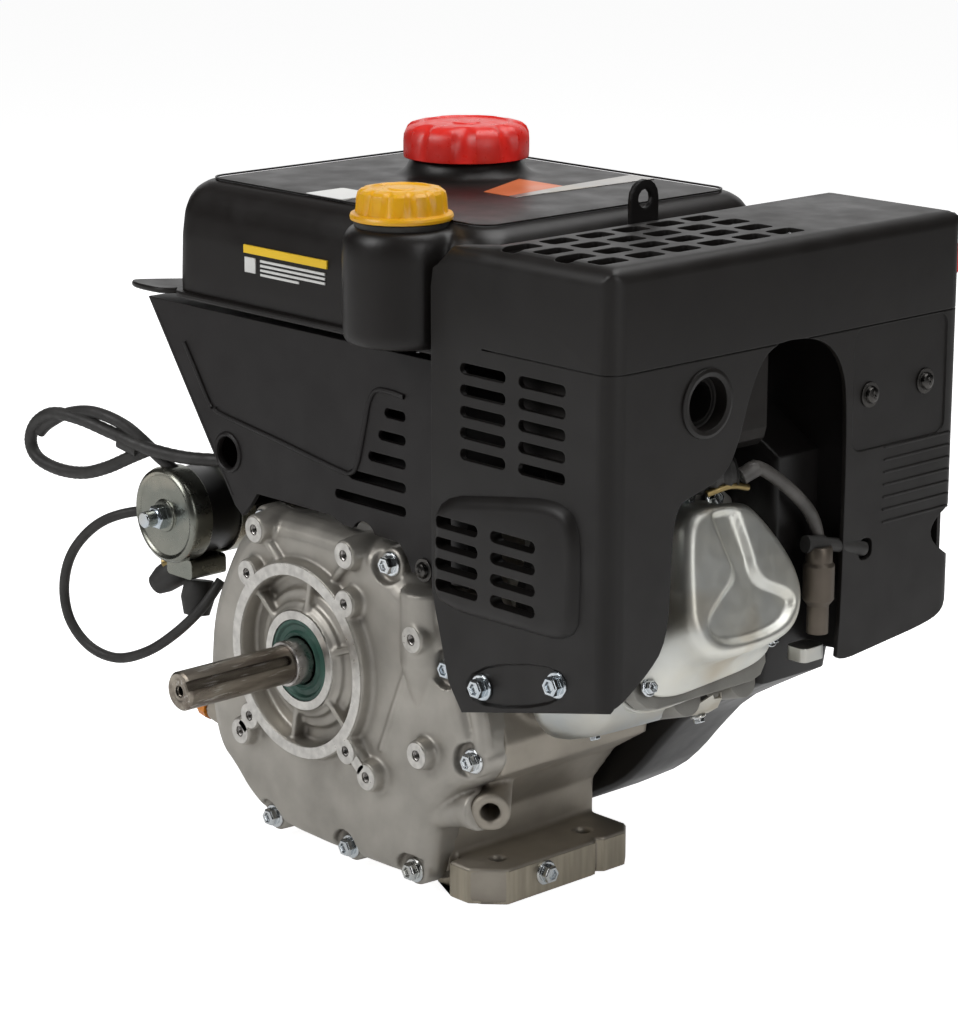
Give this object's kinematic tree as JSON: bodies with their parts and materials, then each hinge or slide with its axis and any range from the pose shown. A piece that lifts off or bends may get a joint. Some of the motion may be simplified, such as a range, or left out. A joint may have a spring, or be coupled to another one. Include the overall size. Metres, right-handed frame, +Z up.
{
  "type": "small gasoline engine",
  "caption": "Compact air-cooled single-cylinder four-stroke petrol engine with horizontal output shaft, fuel tank, black heater hood and electric starter.",
  "frame": {"origin": "on the base plane, under the crankshaft axis and midway between the front and rear mounting holes", "axes": "+Z up, -Y along the output shaft towards its free end, +X towards the cylinder head"},
  "size_m": [0.5653, 0.4334, 0.473],
  "materials": {
    "cast_aluminium": "cast",
    "zinc_steel": "zinc plated",
    "bright_steel": "machined",
    "cast_iron": "as cast",
    "black_plastic": "matte",
    "black_paint": "satin",
    "black_rubber": "matte",
    "red_plastic": "gloss",
    "yellow_plastic": "gloss",
    "orange_plastic": "gloss",
    "green_rubber": "matte",
    "white_ceramic": "glazed"
  },
  "bodies": {
    "engine": {"crankcase": "cast_aluminium", "side_cover": "cast_aluminium", "cylinder_liner": "cast_iron", "cylinder_head": "cast_aluminium", "valve_cover": "zinc_steel", "blower_housing": "black_paint", "shroud_panel": "black_plastic", "fuel_tank": "black_plastic", "hood": "black_plastic", "recoil_housing": "black_plastic", "front_main_bearing": "bright_steel", "rear_main_bearing": "bright_steel", "oil_seal": "green_rubber", "spark_plug": "white_ceramic", "spark_plug_cap": "black_rubber", "muffler": "zinc_steel", "exhaust_pipe": "bright_steel", "carburettor": "cast_aluminium", "float_bowl": "zinc_steel", "intake_box": "black_plastic", "starter_motor": "black_paint", "starter_end_cap": "zinc_steel", "starter_gearbox": "cast_aluminium", "starter_cable": "black_rubber", "harness_cable": "black_rubber", "ignition_coil": "black_plastic", "breather_hose": "black_rubber", "oil_fill_tube": "black_plastic", "lifting_eye": "black_paint"},
    "crank": {"crankshaft_front": "bright_steel", "crankshaft_rear": "bright_steel", "crank_gear": "bright_steel", "flywheel": "cast_iron", "ring_gear": "bright_steel", "starter_cup": "zinc_steel", "cooling_fan": "black_plastic"},
    "cam": {"camshaft": "cast_iron"},
    "piston": {"piston": "cast_aluminium", "piston_pin": "bright_steel"},
    "rod": {"connecting_rod": "cast_aluminium", "rod_cap": "cast_aluminium", "crankpin": "bright_steel"},
    "intake_rocker_arm": {"intake_rocker": "bright_steel"},
    "exhaust_rocker_arm": {"exhaust_rocker": "bright_steel"},
    "intake_valve_stem": {"intake_valve": "bright_steel"},
    "exhaust_valve_stem": {"exhaust_valve": "bright_steel"},
    "intake_push_rod": {"intake_pushrod": "bright_steel"},
    "exhaust_push_rod": {"exhaust_pushrod": "bright_steel"},
    "intake_lifter": {"intake_tappet": "bright_steel"},
    "exhaust_lifter": {"exhaust_tappet": "bright_steel"},
    "rope_pulley": {"recoil_pulley": "black_plastic"},
    "rope_handle": {"recoil_handle": "black_plastic"},
    "pinion": {"starter_pinion": "bright_steel"},
    "fuel_filler_cap": {"fuel_cap": "red_plastic"},
    "oil_filler_cap": {"oil_fill_cap": "yellow_plastic"},
    "oil_level_plug": {"oil_plug": "orange_plastic"},
    "throttle": {"throttle_lever": "zinc_steel"},
    "choke": {"choke_knob": "black_plastic"},
    "primer": {"primer_bulb": "black_rubber"},
    "key": {"stop_key": "red_plastic"}
  },
  "joints": [
    {"name": "crank_turn", "type": "hinge", "parent": "engine", "child": "crank", "pos_m": [0, 0, 0.137], "axis": [0, 1, 0], "continuous": true},
    {"name": "cam_turn", "type": "hinge", "parent": "engine", "child": "cam", "pos_m": [0.0664, 0, 0.10916], "axis": [0, 1, 0], "continuous": true},
    {"name": "piston_stroke", "type": "slide", "parent": "engine", "child": "piston", "axis": [0.9511, 0, 0.309], "range_m": [0, 0.066]},
    {"name": "wrist_pin", "type": "hinge", "parent": "piston", "child": "rod", "pos_m": [0.07513, 0.02, 0.16141], "axis": [0, 1, 0], "range_deg": [-17, 17]},
    {"name": "intake_rocker_pivot", "type": "hinge", "parent": "engine", "child": "intake_rocker_arm", "pos_m": [0.25605, 0.0443, 0.1968], "axis": [-0.0335, 0.9941, 0.1031], "range_deg": [-10, 0]},
    {"name": "exhaust_rocker_pivot", "type": "hinge", "parent": "engine", "child": "exhaust_rocker_arm", "pos_m": [0.25605, -0.0043, 0.1968], "axis": [0.0335, 0.9941, -0.1031], "range_deg": [-10, 0]},
    {"name": "intake_valve_lift", "type": "slide", "parent": "engine", "child": "intake_valve_stem", "axis": [0.9511, 0, 0.309], "range_m": [-0.006, 0]},
    {"name": "exhaust_valve_lift", "type": "slide", "parent": "engine", "child": "exhaust_valve_stem", "axis": [0.9511, 0, 0.309], "range_m": [-0.006, 0]},
    {"name": "intake_pushrod_lift", "type": "slide", "parent": "engine", "child": "intake_push_rod", "axis": [0.9511, 0, 0.309], "range_m": [0, 0.0043]},
    {"name": "exhaust_pushrod_lift", "type": "slide", "parent": "engine", "child": "exhaust_push_rod", "axis": [0.9511, 0, 0.309], "range_m": [0, 0.0043]},
    {"name": "intake_tappet_lift", "type": "slide", "parent": "engine", "child": "intake_lifter", "axis": [0.9511, 0, 0.309], "range_m": [0, 0.0043]},
    {"name": "exhaust_tappet_lift", "type": "slide", "parent": "engine", "child": "exhaust_lifter", "axis": [0.9511, 0, 0.309], "range_m": [0, 0.0043]},
    {"name": "pulley_turn", "type": "hinge", "parent": "engine", "child": "rope_pulley", "pos_m": [0, 0, 0.137], "axis": [0, -1, 0], "range_deg": [0, 468]},
    {"name": "rope_pull", "type": "slide", "parent": "engine", "child": "rope_handle", "axis": [-0.9397, 0, 0.3419], "range_m": [0, 0.45]},
    {"name": "pinion_engage", "type": "slide", "parent": "engine", "child": "pinion", "axis": [0, 1, 0], "range_m": [0, 0.021]},
    {"name": "fuel_cap_turn", "type": "hinge", "parent": "engine", "child": "fuel_filler_cap", "pos_m": [-0.022, 0.079, 0.449], "axis": [0, 0, 1], "range_deg": [0, 90]},
    {"name": "oil_cap_turn", "type": "hinge", "parent": "engine", "child": "oil_filler_cap", "pos_m": [0.092, -0.079, 0.438], "axis": [0, 0, 1], "range_deg": [0, 90]},
    {"name": "oil_plug_turn", "type": "hinge", "parent": "engine", "child": "oil_level_plug", "pos_m": [-0.13762, -0.04812, 0.06888], "axis": [-0.9301, -0.18, 0.32], "range_deg": [0, 720]},
    {"name": "throttle_turn", "type": "hinge", "parent": "engine", "child": "throttle", "pos_m": [0.19154, 0.114, 0.23465], "axis": [0, 0, 1], "range_deg": [0, 38]},
    {"name": "choke_turn", "type": "hinge", "parent": "engine", "child": "choke", "pos_m": [0.232, 0.22335, 0.35], "axis": [0, -1, 0], "range_deg": [0, 75]},
    {"name": "primer_press", "type": "slide", "parent": "engine", "child": "primer", "axis": [0, -1, 0], "range_m": [0, 0.006]},
    {"name": "key_pull", "type": "slide", "parent": "engine", "child": "key", "axis": [0, 1, 0], "range_m": [0, 0.012]}
  ],
  "couplings": [
    {"joint": "cam_turn", "follows": "crank_turn", "ratio": -0.5},
    {"joint": "rope_pull", "follows": "pulley_turn", "m_per_rad": 0.055},
    {"joint": "intake_valve_lift", "follows": "intake_rocker_pivot", "m_per_rad": 0.0335},
    {"joint": "intake_pushrod_lift", "follows": "intake_rocker_pivot", "m_per_rad": -0.024},
    {"joint": "intake_tappet_lift", "follows": "intake_rocker_pivot", "m_per_rad": -0.024},
    {"joint": "exhaust_valve_lift", "follows": "exhaust_rocker_pivot", "m_per_rad": 0.0335},
    {"joint": "exhaust_pushrod_lift", "follows": "exhaust_rocker_pivot", "m_per_rad": -0.024},
    {"joint": "exhaust_tappet_lift", "follows": "exhaust_rocker_pivot", "m_per_rad": -0.024}
  ]
}
